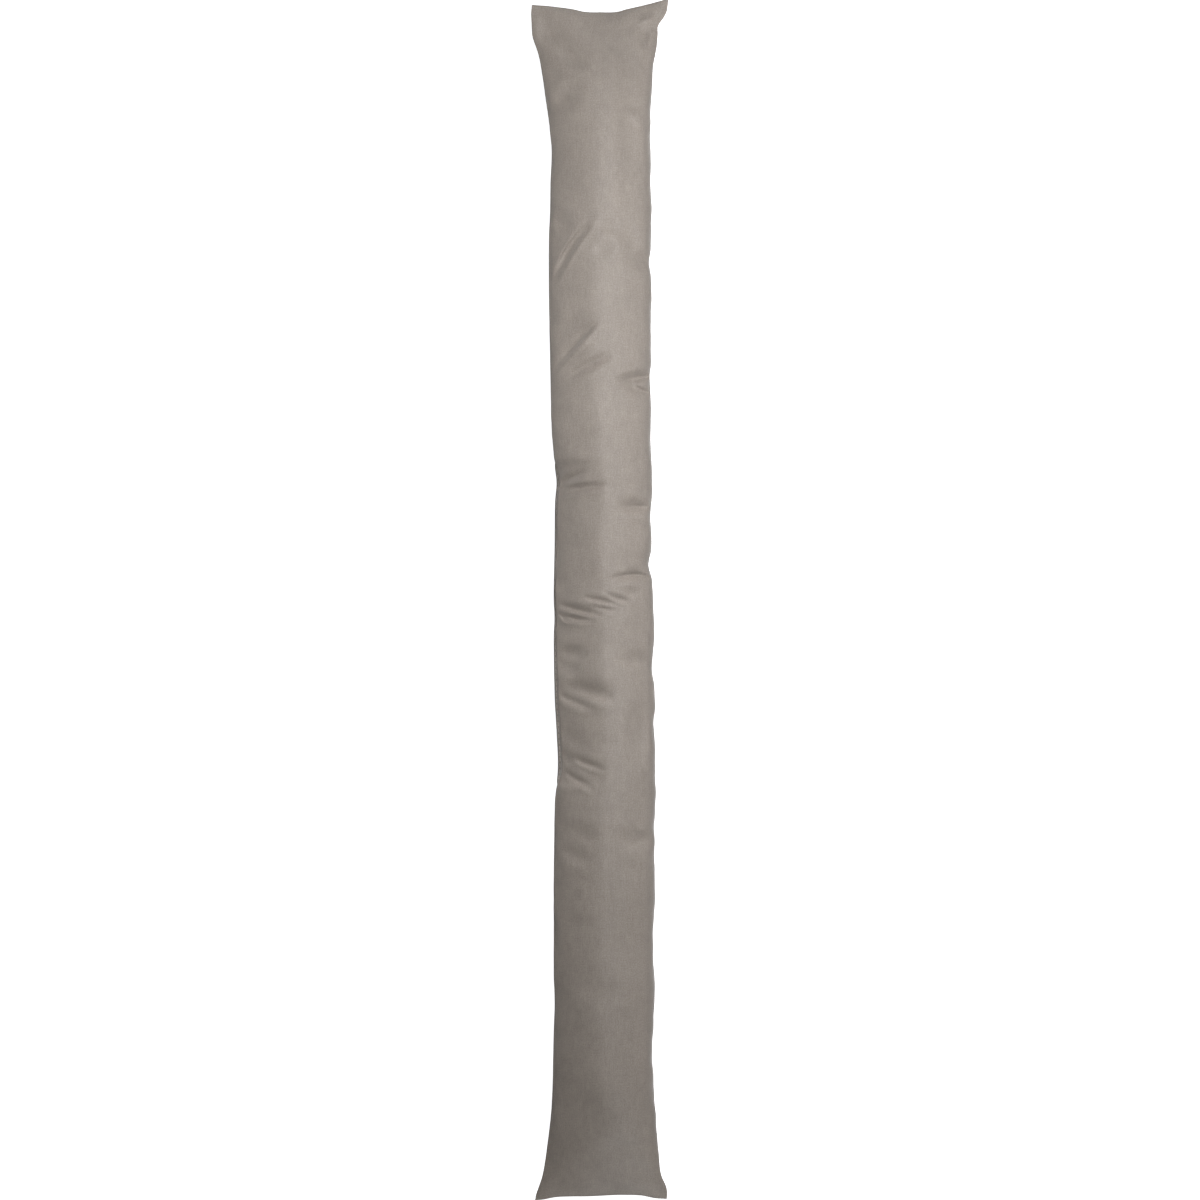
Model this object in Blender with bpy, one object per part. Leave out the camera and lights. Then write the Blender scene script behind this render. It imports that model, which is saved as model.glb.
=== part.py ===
"""Draught excluder: a long filled cloth tube that lies along the foot of a door.

One cloth rectangle is folded lengthways, sewn along one long side and flat across both ends, turned and
filled. Its last stretch of side seam was shut from outside, which leaves a narrow stitched lip.

+X runs along the tube, +Y is the sewn side and +Z is up. The origin is on the floor under the middle.
"""

import math

import bmesh
import bpy
from mathutils import Vector

MM = 0.001

# Driving sizes in millimetres
LENGTH = 900.0
FLAT_WIDTH = 100.0
GIRTH = 2.0 * FLAT_WIDTH

# The sewn ends: half the seam's thickness, its height, and how the filling rises behind it
SEAM_HALF = 1.2
SEAM_HEIGHT = 17.0
END_RISE = 110.0
END_FULLNESS = 0.7
END_LENS = 60.0
LENS_POWER = 0.7
DRAW_IN_REACH = 70.0

# How far the filling is pressed flat underneath, and the steps over which it evens out lengthways
FOOT_SINK = 2.0
FILL_STEPS = (-24.0, -12.0, 0.0, 12.0, 24.0)

# The seam pulls the side flatter: how much, along the machine seam and along the closing lip
SEAM_FLATTENS, LIP_FLATTENS = 0.5, 0.85
FLAT_POWER = 1.6

# Half the closing lip's thickness at its root and at its edge
LIP_ROOT, LIP_EDGE = 0.7, 0.6

# The lip is formed where it is this wide. Elsewhere its columns lie on the seam, this many steps of
# the crown's columns from its middle.
LIP_FORMED = 3.0
SEAM_ROOT, SEAM_EDGE = 0.6, 0.25

# Folds: the narrowest that is built here, how much narrower a steep wall is, the cloth heaped up
# beside each, how each fades out at its ends, and how close above the seam they reach their depth
NARROWEST_FOLD = 3.2
STEEPNESS = 0.55
SHOULDER_HEIGHT, SHOULDER_PLACE = 0.22, 2.0
TAPER_PLACE, TAPER_POWER = 0.9, 1.5
FOLDS_FROM = 1.8

# Folds sink partly straight down: by this share
FOLD_DROP, LEAST_GRIP = 0.7, 0.6

# How finely the cloth is divided, before it is thinned out to the triangles that its form needs
TOP_COLUMNS = 60
FOOT_COLUMNS = 14
FINE_STEP = 2.2
COARSE_STEP = 6.5
FOLD_REACH = 11.0
END_STEPS = (0.0, 0.9, 2.2, 3.8, 5.6, 7.6, 10.0, 13.0, 16.0, 19.5, 23.5, 28.0, 33.0, 38.5)
TRIANGLES = 9800

FABRIC_COLOUR = (0.342, 0.301, 0.266, 1.0)
FABRIC_ROUGHNESS = 0.82

# Outline seen from above: place along the tube, reach of the sewn side, reach of the folded side
OUTLINE = (
    (450.0, 51.0, 51.5),
    (444.0, 51.3, 50.2),
    (439.0, 51.1, 48.3),
    (432.0, 50.7, 43.0),
    (424.0, 50.0, 43.2),
    (412.0, 46.2, 41.4),
    (400.0, 43.7, 39.6),
    (375.0, 40.3, 38.1),
    (348.0, 37.0, 37.2),
    (300.0, 36.6, 37.9),
    (254.0, 37.8, 38.2),
    (188.0, 36.9, 37.7),
    (127.0, 35.5, 37.6),
    (100.0, 33.6, 38.3),
    (45.0, 33.4, 38.0),
    (0.0, 34.2, 39.6),
    (-40.0, 34.0, 40.3),
    (-75.0, 33.3, 40.8),
    (-94.0, 32.2, 40.8),
    (-124.0, 31.0, 41.2),
    (-152.0, 33.1, 41.1),
    (-195.0, 33.9, 40.7),
    (-270.0, 34.1, 40.7),
    (-330.0, 34.3, 39.8),
    (-360.0, 34.8, 39.6),
    (-385.0, 36.3, 41.2),
    (-412.0, 39.4, 43.3),
    (-424.0, 41.2, 44.5),
    (-433.0, 43.1, 45.7),
    (-440.0, 45.6, 49.0),
    (-445.0, 47.7, 50.3),
    (-450.0, 48.6, 50.2),
)

# The sewn ends: place across the tube, draw-in and lift of the +X end, draw-in and lift of the -X end
END_LINES = (
    (52.0, 4.6, 1.5, 0.0, -2.0),
    (42.0, 5.2, 1.0, 1.2, -1.4),
    (33.0, 6.1, 0.6, 3.0, -0.8),
    (20.0, 7.9, 0.2, 3.7, 0.0),
    (11.0, 10.0, 0.0, 3.8, 0.3),
    (0.0, 10.2, 0.0, 4.3, 0.5),
    (-12.0, 10.1, 0.2, 4.9, 0.4),
    (-20.0, 7.9, 0.4, 4.9, 0.2),
    (-31.0, 5.4, 1.0, 4.4, -0.3),
    (-41.0, 3.0, 2.0, 2.2, -1.4),
    (-52.0, 0.0, 3.5, 1.2, -2.5),
)

# Nips where a fold runs over a side: side, place along, depth, half length
NIPS = (
    (-1, 254.0, 1.9, 9.0),
    (-1, 165.0, 0.5, 9.0),
    (-1, 26.0, 2.6, 9.0),
    (-1, -49.0, 1.9, 11.0),
    (-1, -94.0, 0.9, 14.0),
    (-1, -169.0, 0.9, 14.0),
    (-1, -253.0, 1.6, 20.0),
    (-1, -330.0, 1.0, 18.0),
    (1, 336.0, 1.0, 16.0),
    (1, 88.0, 1.4, 10.0),
    (1, -13.0, 0.7, 10.0),
    (1, -300.0, 0.8, 18.0),
)

# Closing lip on the sewn side: place along, width, tilt in degrees, and how far the seam is lifted
LIP = (
    (115.0, 0.0, -62.0, 0.0),
    (106.0, 0.0, -64.0, -1.0),
    (94.0, 5.4, -68.0, -2.0),
    (50.0, 5.5, -74.0, -2.0),
    (0.0, 5.6, -74.0, -1.0),
    (-30.0, 5.6, -71.0, 0.0),
    (-48.0, 5.6, -64.0, 1.5),
    (-90.0, 5.7, -60.0, 3.0),
    (-120.0, 5.7, -58.0, 3.4),
    (-130.0, 5.4, -60.0, 3.0),
    (-141.0, 0.0, -66.0, 1.5),
    (-152.0, 0.0, -70.0, 0.0),
)

# Folds seen from above: start along, start across, end along, end across, bow, half width, depth,
# and lean. A fold leans when one of its walls is steeper: from -1 to 1, by the side of that wall.
FOLDS = (
    (281.0, 6.0, 232.0, 36.0, 2.4, 2.4, 3.6, -0.2),
    (289.0, 35.0, 274.0, 20.0, 0.0, 5.5, 2.6, 0.0),
    (277.0, 3.0, 273.0, -17.0, -1.0, 5.5, 1.3, 0.0),
    (266.0, -14.0, 256.0, 6.0, 0.0, 5.0, 1.2, 0.0),
    (280.0, -18.0, 256.0, -27.0, 0.0, 6.0, 2.4, 0.0),
    (250.0, -40.0, 256.0, -18.0, 0.0, 4.0, 2.8, 0.3),
    (213.0, 9.0, 191.0, 33.0, 0.0, 7.5, 2.6, 0.0),
    (207.5, 0.5, 167.5, 37.0, 0.5, 2.8, 3.9, -0.9),
    (184.0, -12.0, 160.5, 31.0, 0.5, 3.6, 2.1, -0.3),
    (168.5, -41.0, 161.0, -11.0, 0.0, 3.4, 5.4, 0.2),
    (152.0, -41.0, 160.0, -15.0, 0.0, 3.2, 4.6, 0.2),
    (83.5, 34.0, 97.0, 7.0, 0.0, 2.6, 4.4, 0.4),
    (81.5, 34.0, 87.0, 13.0, 0.0, 2.0, 3.4, -0.3),
    (77.0, 33.0, 85.0, -7.0, -1.5, 2.4, 3.4, 0.4),
    (69.0, -41.0, 69.5, -12.0, 0.0, 4.0, 3.8, 0.0),
    (13.5, -42.0, 14.5, -6.0, 4.8, 2.8, 3.8, 0.4),
    (5.0, -28.0, 4.0, -18.0, 0.0, 3.4, 0.9, 0.0),
    (-3.0, 33.0, -11.0, -5.0, 0.8, 2.4, 3.7, 0.3),
    (-8.5, 35.0, -14.0, 1.0, 2.5, 2.2, 3.3, 0.2),
    (-13.5, 29.0, -16.8, 20.0, 0.0, 1.3, 1.3, 0.0),
    (2.4, 14.0, -3.6, -17.0, 0.0, 1.7, 1.5, 0.3),
    (4.8, -3.0, -1.5, -27.0, 1.0, 1.7, 1.3, 0.2),
    (-4.3, 10.0, -7.9, -13.0, 0.0, 1.7, 1.2, 0.0),
    (-38.5, 31.0, -41.0, 7.0, 0.0, 4.8, 2.7, 0.0),
    (-46.0, 34.0, -52.0, 12.0, 0.0, 5.0, 2.5, 0.0),
    (-45.0, -42.0, -44.5, -10.0, 0.0, 5.0, 1.8, -0.6),
    (-63.0, 29.0, -71.5, -13.0, 1.0, 5.2, 3.4, 0.5),
    (-70.0, 33.0, -80.5, 2.0, 0.0, 3.4, 2.8, 0.2),
    (-74.0, -28.0, -126.0, -29.0, 0.0, 6.0, 3.0, 0.0),
    (-116.5, 21.0, -126.0, -6.0, 0.8, 2.3, 1.6, 0.4),
    (-108.0, 35.0, -123.0, 19.0, 0.0, 4.0, 1.5, 0.0),
    (-125.5, 29.0, -142.0, 2.0, 0.8, 2.3, 1.7, 0.3),
    (-171.0, -42.0, -170.0, -24.0, 0.0, 3.0, -1.4, 0.0),
    (-180.0, -41.0, -177.0, -11.0, 0.0, 5.5, 1.6, 0.0),
    (-168.0, 21.0, -181.0, -1.0, 0.0, 5.5, 0.9, 0.0),
    (-183.0, 33.0, -198.0, 3.0, 0.0, 6.0, 1.0, 0.0),
    (432.0, 50.0, 410.0, 22.0, 0.0, 7.0, 2.4, 0.0),
    (415.0, 33.0, 392.0, 10.0, 0.0, 7.0, 2.2, 0.0),
    (366.0, 36.0, 384.0, 12.0, 0.0, 6.5, 2.2, 0.0),
    (430.0, -21.0, 262.0, -22.0, 0.0, 6.5, 1.8, 0.0),
    (434.0, -42.0, 431.0, -28.0, 0.0, 3.2, -1.7, 0.0),
    (427.0, -34.0, 410.0, -31.0, 0.0, 3.6, 2.2, 0.0),
    (358.0, -39.0, 358.0, -16.0, 0.0, 4.0, -1.6, 0.0),
    (-366.0, 34.0, -392.0, -16.0, 0.0, 11.0, 1.6, 0.0),
)


def smooth_step(value):
    """Run from 0 to 1 with level ends."""
    value = min(max(value, 0.0), 1.0)
    return value * value * (3.0 - 2.0 * value)


def read_table(rows, place, column):
    """Read one column of a table whose first column falls, on a smooth line through its rows."""
    if place >= rows[0][0]:
        return rows[0][column]
    if place <= rows[-1][0]:
        return rows[-1][column]
    upper = max(index for index, row in enumerate(rows[:-1]) if row[0] >= place)

    def slope(index):
        before = rows[max(index - 1, 0)]
        after = rows[min(index + 1, len(rows) - 1)]
        return (after[column] - before[column]) / (after[0] - before[0])

    start, end = rows[upper], rows[upper + 1]
    gap = end[0] - start[0]
    part = (place - start[0]) / gap
    rise = slope(upper) * gap
    fall = slope(upper + 1) * gap
    change = end[column] - start[column]
    bend = rise - change
    unbend = change - fall
    straight = start[column] + change * part
    return straight + part * (1.0 - part) * (bend * (1.0 - part) + unbend * part)


def ellipse_girth(half_width, half_height):
    """Girth of an ellipse, by Ramanujan's first formula."""
    mixed = (3.0 * half_width + half_height) * (half_width + 3.0 * half_height)
    return math.pi * (3.0 * (half_width + half_height) - math.sqrt(mixed))


def half_height_for(width, girth):
    """Half the height that cloth of this girth fills when it is this wide."""
    low, high = 0.0, width
    for _ in range(40):
        middle = 0.5 * (low + high)
        if ellipse_girth(0.5 * width, middle) < girth:
            low = middle
        else:
            high = middle
    return 0.5 * (low + high)


def nip_depth(side, along):
    """How far the outline dips at this place on one side."""
    depth = 0.0
    for nip_side, place, nip, half_length in NIPS:
        if nip_side == side:
            depth += nip * math.exp(-(((along - place) / half_length) ** 2))
    return depth


def lip_width(along):
    """How wide the closing lip is here."""
    return max(read_table(LIP, along, 1), 0.0)


def lip_reach(along):
    """How far the closing lip stands out, seen from above."""
    return lip_width(along) * math.cos(math.radians(read_table(LIP, along, 2)))


def filled_half_height(along):
    """Half the height of the filling here. A lip takes up twice its own width of the cloth."""
    width, girth = 0.0, 0.0
    for step in FILL_STEPS:
        reach = read_table(OUTLINE, along + step, 1) + read_table(OUTLINE, along + step, 2)
        width += (reach - lip_reach(along + step)) / len(FILL_STEPS)
        girth += (GIRTH - 2.0 * lip_width(along + step)) / len(FILL_STEPS)
    return half_height_for(width, girth)


def section_at(along):
    """The sizes of the cloth's section at one place along the tube."""
    lip = lip_width(along)
    sewn = read_table(OUTLINE, along, 1) - nip_depth(1, along) - lip_reach(along)
    folded = read_table(OUTLINE, along, 2) - nip_depth(-1, along)
    from_end = 0.5 * LENGTH - abs(along)
    inner = 0.5 * LENGTH - END_RISE
    filled = filled_half_height(min(max(along, -inner), inner))
    opened = math.sin(0.5 * math.pi * min(from_end / END_RISE, 1.0)) ** END_FULLNESS
    body_middle = filled - FOOT_SINK
    stands = smooth_step(lip / LIP_FORMED)
    return {
        "half_width": 0.5 * (sewn + folded),
        "centre": 0.5 * (sewn - folded),
        "half_height": SEAM_HALF + (filled - SEAM_HALF) * opened,
        "middle": SEAM_HEIGHT + (body_middle - SEAM_HEIGHT) * smooth_step(from_end / END_RISE),
        "lens": 1.0 + LENS_POWER * smooth_step(1.0 - from_end / END_LENS),
        "flattened": SEAM_FLATTENS + (LIP_FLATTENS - SEAM_FLATTENS) * stands,
        "lip": lip,
        "stands": stands,
        "tilt": math.radians(read_table(LIP, along, 2)),
        "lift": read_table(LIP, along, 3),
    }


def fold_relief(along, across):
    """How far the folds push the cloth in at a place seen from above."""
    relief = 0.0
    for start_along, start_across, end_along, end_across, bow, half_width, depth, lean in FOLDS:
        run_along = end_along - start_along
        run_across = end_across - start_across
        run = math.hypot(run_along, run_across)
        offset_along = along - start_along
        offset_across = across - start_across
        part = (offset_along * run_along + offset_across * run_across) / (run * run)
        if not 0.0 < part < 1.0:
            continue
        beside = (offset_along * run_across - offset_across * run_along) / run
        beside -= bow * 4.0 * part * (1.0 - part)
        taper = math.sin(math.pi * part**TAPER_PLACE) ** TAPER_POWER
        side = math.tanh(beside / half_width) * lean
        away = abs(beside) / (max(half_width, NARROWEST_FOLD) * (1.0 - STEEPNESS * side))
        trough = math.exp(-(away**2))
        shoulders = SHOULDER_HEIGHT * (1.0 + side) * math.exp(-((away - SHOULDER_PLACE) ** 2))
        relief += depth * taper * (trough - shoulders)
    return relief


def column_angles():
    """Angles round the section, from the seam over the crown and back under the foot."""
    first = math.pi / TOP_COLUMNS
    top = [first * (step + 1) for step in range(TOP_COLUMNS)]
    under = math.pi / (FOOT_COLUMNS + 1)
    foot = [math.pi + under * (step + 1) for step in range(FOOT_COLUMNS)]
    return top + foot


def end_angle(angle):
    """Move a crown column to the foot column below it, so that both meet in the end seam."""
    under = math.pi / (FOOT_COLUMNS + 1)
    return round(angle / under) * under


def cloth_point(section, angle, face=0.0):
    """A point on the filled section. On the seam itself, face is 1 on the upper cloth and -1 below."""
    level, nearness = math.sin(angle), max(0.0, math.cos(angle)) ** 3
    height = abs(level)
    round_share = height ** section["lens"]
    if nearness:
        flat_share = 1.0 - math.cos(angle) ** FLAT_POWER
        round_share += section["flattened"] * (flat_share - round_share)
    rise = (section["half_height"] - SEAM_HALF) * round_share + SEAM_HALF * math.sqrt(height)
    rise += LIP_ROOT * section["stands"] * nearness * (1.0 - height)
    across = section["centre"] + section["half_width"] * math.cos(angle)
    return across, section["middle"] + section["lift"] * nearness + math.copysign(rise, face or level)


def folded_point(section, angle, along):
    """The same point with the folds pushed in, partly straight down and partly into the cloth."""
    across, up = cloth_point(section, angle)
    push = fold_relief(along, across) * smooth_step(FOLDS_FROM * math.sin(angle))
    if push == 0.0:
        return across, up
    step = 0.1 * angle
    before, after = cloth_point(section, angle - step), cloth_point(section, angle + step)
    out = Vector((after[1] - before[1], before[0] - after[0])).normalized()
    way = ((1.0 - FOLD_DROP) * out + FOLD_DROP * Vector((0.0, 1.0))).normalized()
    way *= push / max(way.dot(out), LEAST_GRIP)
    return across - way[0], up - way[1]


def lip_point(section, corner):
    """One of the four corners of the closing lip, or its place on the seam where there is no lip."""
    angle, face, side, width = {
        "upper root": (SEAM_ROOT, 1.0, 0.0, 0.0),
        "upper edge": (SEAM_EDGE, 1.0, LIP_EDGE, section["lip"]),
        "lower edge": (-SEAM_EDGE, -1.0, LIP_EDGE, section["lip"]),
        "lower root": (-SEAM_ROOT, -1.0, 0.0, 0.0),
    }[corner]
    stands = section["stands"]
    angle *= (1.0 - stands) * math.pi / TOP_COLUMNS
    across, up = cloth_point(section, angle, face)
    if width:
        middle = section["middle"] + section["lift"]
        level, steep = math.cos(section["tilt"]), math.sin(section["tilt"])
        edge_across = section["centre"] + section["half_width"] + width * level - face * side * steep
        edge_up = middle + width * steep + face * side * level
        across += stands * (edge_across - across)
        up += stands * (edge_up - up)
    return across, up


def ring_places():
    """Places of the rings along the tube, closer together at the ends and where folds lie."""
    inner = 0.5 * LENGTH - END_STEPS[-1]
    folded = [0.5 * (row[0] + row[2]) for row in FOLDS]
    reach = [FOLD_REACH + 0.5 * abs(row[0] - row[2]) for row in FOLDS]
    places = []
    place = inner
    while place > -inner:
        places.append(place)
        near = any(abs(place - fold) < span for fold, span in zip(folded, reach))
        place -= FINE_STEP if near else COARSE_STEP
    if places[-1] + inner < 0.5 * FINE_STEP:
        places.pop()
    top_end = [0.5 * LENGTH - step for step in END_STEPS[:-1]]
    low_end = [step - 0.5 * LENGTH for step in reversed(END_STEPS)]
    return top_end + places + low_end


def ring_points(along):
    """All points of one ring, in order round the section."""
    section = section_at(along)
    angles = column_angles()
    if 0.5 * LENGTH - abs(along) < 0.5 * END_STEPS[1]:
        closed = [0.0, 0.0] + [end_angle(angle) for angle in angles] + [0.0, 0.0]
        points = [(cloth_point(section, angle)[0], section["middle"]) for angle in closed]
    else:
        points = [lip_point(section, "upper edge"), lip_point(section, "upper root")]
        for angle in angles:
            across, _ = cloth_point(section, angle)
            points.append(folded_point(section, angle, drawn_place(along, across)))
        points.append(lip_point(section, "lower root"))
        points.append(lip_point(section, "lower edge"))
    column = 2 if along > 0 else 4
    fade = end_fade(along)
    ring = []
    for across, up in points:
        lifted = read_table(END_LINES, across, column) * fade
        ring.append(Vector((drawn_place(along, across), across, max(up + lifted, 0.0))) * MM)
    return ring


def end_fade(along):
    """How much of the sewn end's shape is felt here: 1 at the end, and 0 beyond its reach."""
    return smooth_step(1.0 - (0.5 * LENGTH - abs(along)) / DRAW_IN_REACH)


def drawn_place(along, across):
    """Place along the tube after the filling has drawn the sewn ends in."""
    column = 1 if along > 0 else 3
    drawn = read_table(END_LINES, across, column) * end_fade(along)
    return along - math.copysign(drawn, along)


def centre_over_origin(rings):
    """Shift the rings so that their box stands centred on the origin."""
    points = [point for ring in rings for point in ring]
    for axis in (0, 1):
        values = [point[axis] for point in points]
        middle = 0.5 * (min(values) + max(values))
        for point in points:
            point[axis] -= middle


def roll_cloth(name):
    """Roll a flat grid of cloth into the filled tube and sew it shut."""
    rings = [ring_points(place) for place in ring_places()]
    centre_over_origin(rings)
    around = len(rings[0])
    mesh = bmesh.new()
    bmesh.ops.create_grid(mesh, x_segments=len(rings) - 1, y_segments=around, size=1.0)
    for vertex in mesh.verts:
        ring = round(0.5 * (vertex.co.x + 1.0) * (len(rings) - 1))
        column = round(0.5 * (vertex.co.y + 1.0) * around)
        vertex.co = rings[ring][column % around]
    bmesh.ops.remove_doubles(mesh, verts=mesh.verts, dist=0.000001)
    bmesh.ops.recalc_face_normals(mesh, faces=mesh.faces)
    data = bpy.data.meshes.new(name)
    mesh.to_mesh(data)
    mesh.free()
    data.shade_smooth()
    tube = bpy.data.objects.new(name, data)
    thin_out = tube.modifiers.new("thin out", "DECIMATE")
    thin_out.ratio = TRIANGLES / sum(len(face.vertices) - 2 for face in data.polygons)
    return tube


def make_fabric():
    """Taupe-grey woven cloth."""
    material = bpy.data.materials.new("cover_fabric")
    material.use_nodes = True
    shader = material.node_tree.nodes["Principled BSDF"]
    shader.inputs["Base Color"].default_value = FABRIC_COLOUR
    shader.inputs["Roughness"].default_value = FABRIC_ROUGHNESS
    shader.inputs["Metallic"].default_value = 0.0
    return material


def main():
    for thing in list(bpy.data.objects):
        bpy.data.objects.remove(thing)
    collection = bpy.data.collections.new("draught_excluder")
    bpy.context.scene.collection.children.link(collection)
    cover = roll_cloth("cover")
    cover.data.materials.append(make_fabric())
    collection.objects.link(cover)


main()
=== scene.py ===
"""Looks of the draught excluder: the filled cloth cover and the stitches that close it.

+X runs along the tube, +Y is the sewn side and +Z is up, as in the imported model. Sizes are in
millimetres unless a name or comment says otherwise, and are turned into metres where a mesh is made.
"""

import math

import bmesh
import bpy
import numpy as np
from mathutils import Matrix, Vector


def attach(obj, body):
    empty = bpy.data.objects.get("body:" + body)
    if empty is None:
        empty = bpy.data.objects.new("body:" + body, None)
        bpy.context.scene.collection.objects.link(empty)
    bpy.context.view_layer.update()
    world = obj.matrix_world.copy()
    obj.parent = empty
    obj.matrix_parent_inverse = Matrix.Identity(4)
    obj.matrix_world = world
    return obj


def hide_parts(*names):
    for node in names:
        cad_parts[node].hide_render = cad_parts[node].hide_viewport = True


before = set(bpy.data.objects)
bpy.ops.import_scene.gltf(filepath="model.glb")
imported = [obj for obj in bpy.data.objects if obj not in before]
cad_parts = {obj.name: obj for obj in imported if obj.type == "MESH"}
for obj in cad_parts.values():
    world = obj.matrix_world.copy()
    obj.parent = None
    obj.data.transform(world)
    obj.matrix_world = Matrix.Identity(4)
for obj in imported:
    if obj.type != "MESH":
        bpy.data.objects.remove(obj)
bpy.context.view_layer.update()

MM = 0.001

# Driving sizes of the cover, laid flat
LENGTH = 900.0
FLAT_WIDTH = 100.0
GIRTH = 2.0 * FLAT_WIDTH

# How often the range is halved in which the height of a section is looked for
HALVINGS = 40

# The sewn ends: half the seam's thickness, its height, and how the filling rises behind it
SEAM_HALF = 1.2
SEAM_HEIGHT = 17.0
END_CALM = 10.0
END_RISE = 110.0
END_FULLNESS = 0.7
END_LENS = 60.0
LENS_POWER = 0.7
DRAW_IN_REACH = 70.0

# How far the filling is pressed flat underneath, and the steps over which it evens out lengthways
FOOT_SINK = 2.0
FILL_STEPS = (-24.0, -12.0, 0.0, 12.0, 24.0)

# The seam pulls the side flatter: how much, along the machine seam and along the closing lip
SEAM_FLATTENS, LIP_FLATTENS = 0.5, 0.85
FLAT_POWER = 1.6

# How closely what belongs to the seam keeps to it: a power of the cosine of the angle above it
SEAM_CLOSENESS = 3

# Half the closing lip's thickness at its root and at its edge
LIP_ROOT, LIP_EDGE = 0.6, 0.5

# The lip is formed where it is this wide. Elsewhere its columns lie on the seam, this many steps of
# the crown's columns from its middle.
LIP_FORMED = 3.0
SEAM_ROOT, SEAM_EDGE = 0.6, 0.25

# The grid of cloth that is simulated. It is refined once afterwards.
TOP_COLUMNS = 48
FOOT_COLUMNS = TOP_COLUMNS // 2 - 1
FINE_STEP = 2.4
COARSE_STEP = 4.6
FOLD_REACH = 9.0
END_STEPS = (0.0, 0.9, 2.2, 3.8, 5.6, 7.6, 10.0, 13.0, 16.0, 19.5, 23.5, 28.0, 33.0, 38.5)

# Outline seen from above: place along the tube, reach of the sewn side, reach of the folded side
OUTLINE = (
    (450.0, 51.0, 51.5),
    (444.0, 51.3, 50.2),
    (439.0, 51.1, 48.3),
    (432.0, 50.7, 43.0),
    (424.0, 50.0, 43.2),
    (412.0, 46.2, 41.4),
    (400.0, 43.7, 39.6),
    (375.0, 40.3, 38.1),
    (348.0, 37.0, 37.2),
    (300.0, 36.6, 37.9),
    (254.0, 37.8, 38.2),
    (188.0, 36.9, 37.7),
    (127.0, 35.5, 37.6),
    (100.0, 33.6, 38.3),
    (45.0, 33.4, 38.0),
    (0.0, 34.2, 39.6),
    (-40.0, 34.0, 40.3),
    (-75.0, 33.3, 40.8),
    (-94.0, 32.2, 40.8),
    (-124.0, 31.0, 41.2),
    (-152.0, 33.1, 41.1),
    (-195.0, 33.9, 40.7),
    (-270.0, 34.1, 40.7),
    (-330.0, 34.3, 39.8),
    (-360.0, 34.8, 39.6),
    (-385.0, 36.3, 41.2),
    (-412.0, 39.4, 43.3),
    (-424.0, 41.2, 44.5),
    (-433.0, 43.1, 45.7),
    (-440.0, 45.6, 49.0),
    (-445.0, 47.7, 50.3),
    (-450.0, 48.6, 50.2),
)

# The sewn ends: place across the tube, draw-in and lift of the +X end, draw-in and lift of the -X end
END_LINES = (
    (52.0, 4.6, 1.5, 0.0, -2.0),
    (42.0, 5.2, 1.0, 1.2, -1.4),
    (33.0, 6.1, 0.6, 3.0, -0.8),
    (20.0, 7.9, 0.2, 3.7, 0.0),
    (11.0, 10.0, 0.0, 3.8, 0.3),
    (0.0, 10.2, 0.0, 4.3, 0.5),
    (-12.0, 10.1, 0.2, 4.9, 0.4),
    (-20.0, 7.9, 0.4, 4.9, 0.2),
    (-31.0, 5.4, 1.0, 4.4, -0.3),
    (-41.0, 3.0, 2.0, 2.2, -1.4),
    (-52.0, 0.0, 3.5, 1.2, -2.5),
)

# Nips where a fold runs over a side: side, place along, depth, half length
NIPS = (
    (-1, 254.0, 1.9, 9.0),
    (-1, 165.0, 0.5, 9.0),
    (-1, 26.0, 2.6, 9.0),
    (-1, -49.0, 1.9, 11.0),
    (-1, -94.0, 0.9, 14.0),
    (-1, -169.0, 0.9, 14.0),
    (-1, -253.0, 1.6, 20.0),
    (-1, -330.0, 1.0, 18.0),
    (1, 336.0, 1.0, 16.0),
    (1, 88.0, 1.4, 10.0),
    (1, -13.0, 0.7, 10.0),
    (1, -300.0, 0.8, 18.0),
)

# Closing lip on the sewn side: place along, width, tilt in degrees, and how far the seam is lifted
LIP = (
    (115.0, 0.0, -62.0, 0.0),
    (106.0, 0.0, -64.0, -1.0),
    (94.0, 5.4, -68.0, -2.0),
    (50.0, 5.5, -74.0, -2.0),
    (0.0, 5.6, -74.0, -1.0),
    (-30.0, 5.6, -71.0, 0.0),
    (-48.0, 5.6, -64.0, 1.5),
    (-90.0, 5.7, -60.0, 3.0),
    (-120.0, 5.7, -58.0, 3.4),
    (-130.0, 5.4, -60.0, 3.0),
    (-141.0, 0.0, -66.0, 1.5),
    (-152.0, 0.0, -70.0, 0.0),
)

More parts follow.
